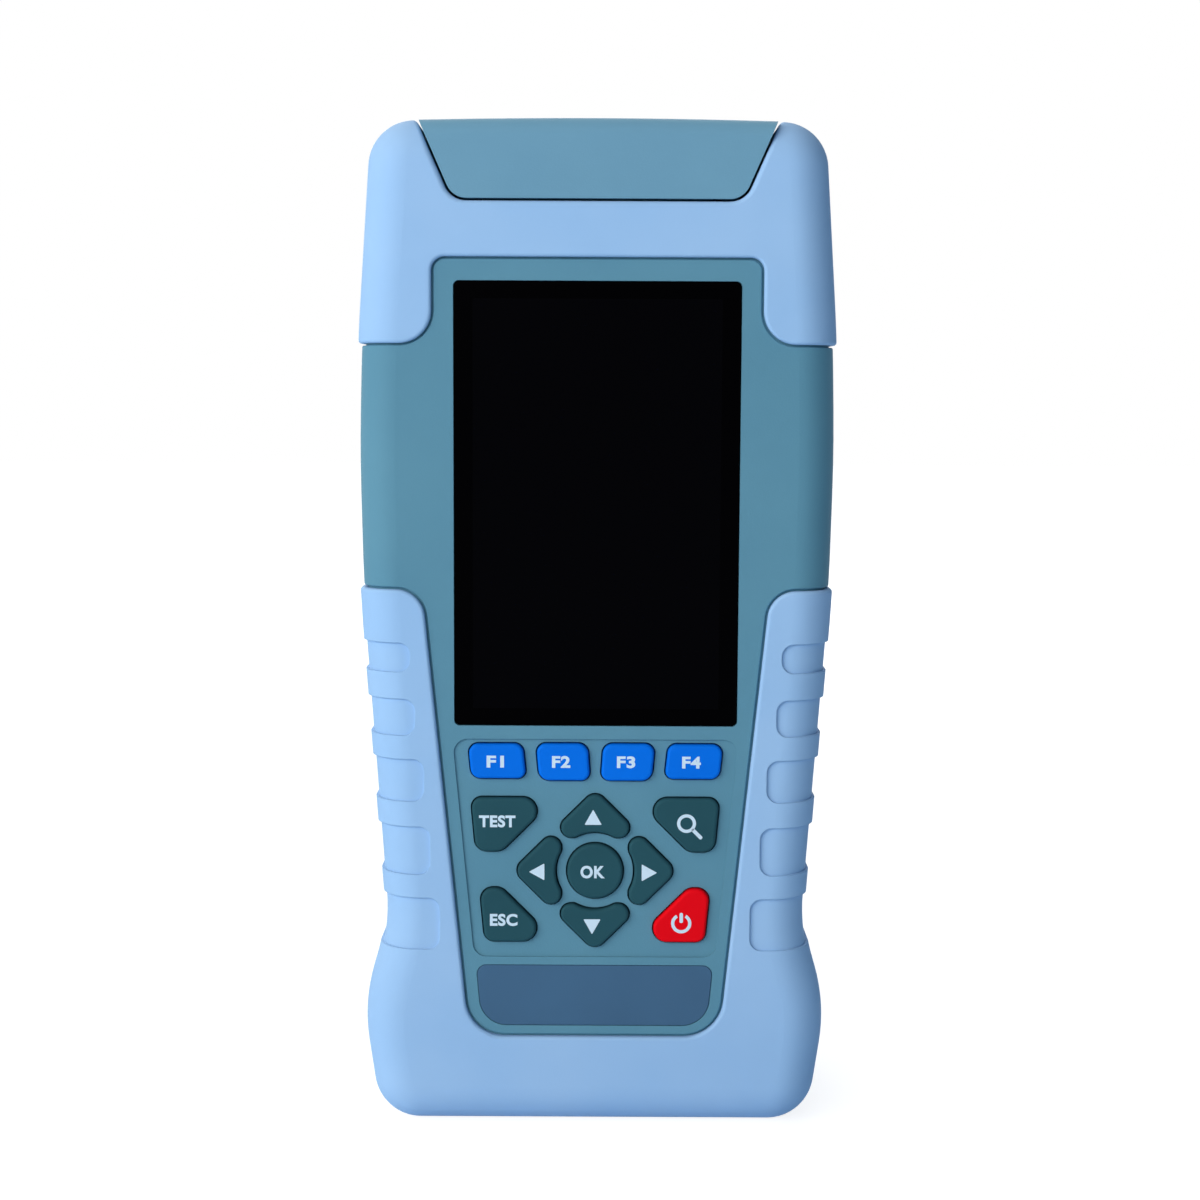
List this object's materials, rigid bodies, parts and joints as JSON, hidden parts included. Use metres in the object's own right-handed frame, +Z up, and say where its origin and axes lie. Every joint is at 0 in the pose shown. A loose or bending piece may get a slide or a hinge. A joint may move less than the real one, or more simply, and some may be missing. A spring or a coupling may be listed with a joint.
{
  "type": "handheld optical time domain reflectometer",
  "caption": "Handheld fibre test meter: rubber-booted case, tall screen, keypad with arrow pad, flip cover over its ports, desk stand.",
  "frame": {"origin": "middle of the footprint, on the surface that the lower boot stands on", "axes": "+X to the right as the user sees the screen, +Y from the screen to the back, +Z up to the port cover"},
  "size_m": [0.1028, 0.056, 0.2184],
  "materials": {
    "boot_rubber": "satin soft overmould",
    "case_plastic": "fine texture",
    "cover_plastic": "fine texture",
    "screen_black": "polished, dark when off",
    "key_blue": "satin",
    "key_dark": "satin",
    "key_red": "satin",
    "plate": "satin film",
    "black_foam": "matte",
    "grey_silicone": "matte",
    "board_green": "solder mask",
    "chip_black": "matte",
    "display_glass": "dark glass",
    "steel": "bright zinc",
    "shield_can": "satin",
    "module_can": "satin",
    "nickel": "nickel plate",
    "ceramic": "white ceramic",
    "cell_wrap": "film wrapped can",
    "contact_metal": "plated spring",
    "socket_black": "moulded",
    "fibre_yellow": "jacket",
    "ribbon_amber": "film",
    "spacer_brass": "turned",
    "buzzer_black": "moulded",
    "legend_print": "printed ink on the keys"
  },
  "bodies": {
    "case": {"front_shell": "case_plastic", "rear_shell": "case_plastic", "upper_boot": "boot_rubber", "lower_boot": "boot_rubber", "shell_seal": "grey_silicone", "cover_pin": "steel", "screen_lens": "screen_black", "lens_tape": "black_foam", "display_foam": "black_foam", "display_module": "display_glass", "display_bracket": "steel", "display_ribbon": "ribbon_amber", "keypad_mat": "grey_silicone", "keypad_board": "board_green", "name_plate": "plate", "main_board": "board_green", "processor_shield": "shield_can", "board_chips": "chip_black", "buzzer": "buzzer_black", "optical_module": "module_can", "module_spacers": "spacer_brass", "battery_cells": "cell_wrap", "battery_contacts": "contact_metal", "battery_door": "case_plastic", "stand_pin": "steel", "port_deck": "case_plastic", "deck_gasket": "grey_silicone", "test_port": "nickel", "meter_port": "nickel", "laser_port": "nickel", "ceramic_sleeves": "ceramic", "fault_laser": "nickel", "power_detector": "nickel", "fibre_lead": "fibre_yellow", "usb_socket": "steel", "usb_tongue": "socket_black", "charge_jack": "socket_black", "jack_pin": "contact_metal", "case_screws": "steel", "board_screws": "steel", "panel_screws": "steel", "door_screws": "steel", "deck_screws": "steel", "port_screws": "steel"},
    "cover": {"port_cover": "cover_plastic"},
    "stand": {"stand": "case_plastic", "stand_pad": "black_foam"},
    "key_f1": {"key_f1": "key_blue"},
    "key_f2": {"key_f2": "key_blue"},
    "key_f3": {"key_f3": "key_blue"},
    "key_f4": {"key_f4": "key_blue"},
    "key_test": {"key_test": "key_dark"},
    "key_zoom": {"key_zoom": "key_dark"},
    "key_escape": {"key_escape": "key_dark"},
    "key_power": {"key_power": "key_red"},
    "key_up": {"key_up": "key_dark"},
    "key_down": {"key_down": "key_dark"},
    "key_left": {"key_left": "key_dark"},
    "key_right": {"key_right": "key_dark"},
    "key_ok": {"key_ok": "key_dark"}
  },
  "joints": [
    {"name": "cover_hinge", "type": "hinge", "parent": "case", "child": "cover", "pos_m": [0, 0.0236, 0.2055], "axis": [-1, 0, 0], "range_deg": [0, 95]},
    {"name": "stand_hinge", "type": "hinge", "parent": "case", "child": "stand", "pos_m": [0, 0.02515, 0.1735], "axis": [1, 0, 0], "range_deg": [0, 50]},
    {"name": "key_f1_press", "type": "slide", "parent": "case", "child": "key_f1", "axis": [0, 1, 0], "range_m": [0, 0.0008], "stiffness_N_per_m": 1500},
    {"name": "key_f2_press", "type": "slide", "parent": "case", "child": "key_f2", "axis": [0, 1, 0], "range_m": [0, 0.0008], "stiffness_N_per_m": 1500},
    {"name": "key_f3_press", "type": "slide", "parent": "case", "child": "key_f3", "axis": [0, 1, 0], "range_m": [0, 0.0008], "stiffness_N_per_m": 1500},
    {"name": "key_f4_press", "type": "slide", "parent": "case", "child": "key_f4", "axis": [0, 1, 0], "range_m": [0, 0.0008], "stiffness_N_per_m": 1500},
    {"name": "key_test_press", "type": "slide", "parent": "case", "child": "key_test", "axis": [0, 1, 0], "range_m": [0, 0.0008], "stiffness_N_per_m": 1500},
    {"name": "key_zoom_press", "type": "slide", "parent": "case", "child": "key_zoom", "axis": [0, 1, 0], "range_m": [0, 0.0008], "stiffness_N_per_m": 1500},
    {"name": "key_escape_press", "type": "slide", "parent": "case", "child": "key_escape", "axis": [0, 1, 0], "range_m": [0, 0.0008], "stiffness_N_per_m": 1500},
    {"name": "key_power_press", "type": "slide", "parent": "case", "child": "key_power", "axis": [0, 1, 0], "range_m": [0, 0.0008], "stiffness_N_per_m": 1500},
    {"name": "key_up_press", "type": "slide", "parent": "case", "child": "key_up", "axis": [0, 1, 0], "range_m": [0, 0.0008], "stiffness_N_per_m": 1500},
    {"name": "key_down_press", "type": "slide", "parent": "case", "child": "key_down", "axis": [0, 1, 0], "range_m": [0, 0.0008], "stiffness_N_per_m": 1500},
    {"name": "key_left_press", "type": "slide", "parent": "case", "child": "key_left", "axis": [0, 1, 0], "range_m": [0, 0.0008], "stiffness_N_per_m": 1500},
    {"name": "key_right_press", "type": "slide", "parent": "case", "child": "key_right", "axis": [0, 1, 0], "range_m": [0, 0.0008], "stiffness_N_per_m": 1500},
    {"name": "key_ok_press", "type": "slide", "parent": "case", "child": "key_ok", "axis": [0, 1, 0], "range_m": [0, 0.0008], "stiffness_N_per_m": 1500}
  ]
}
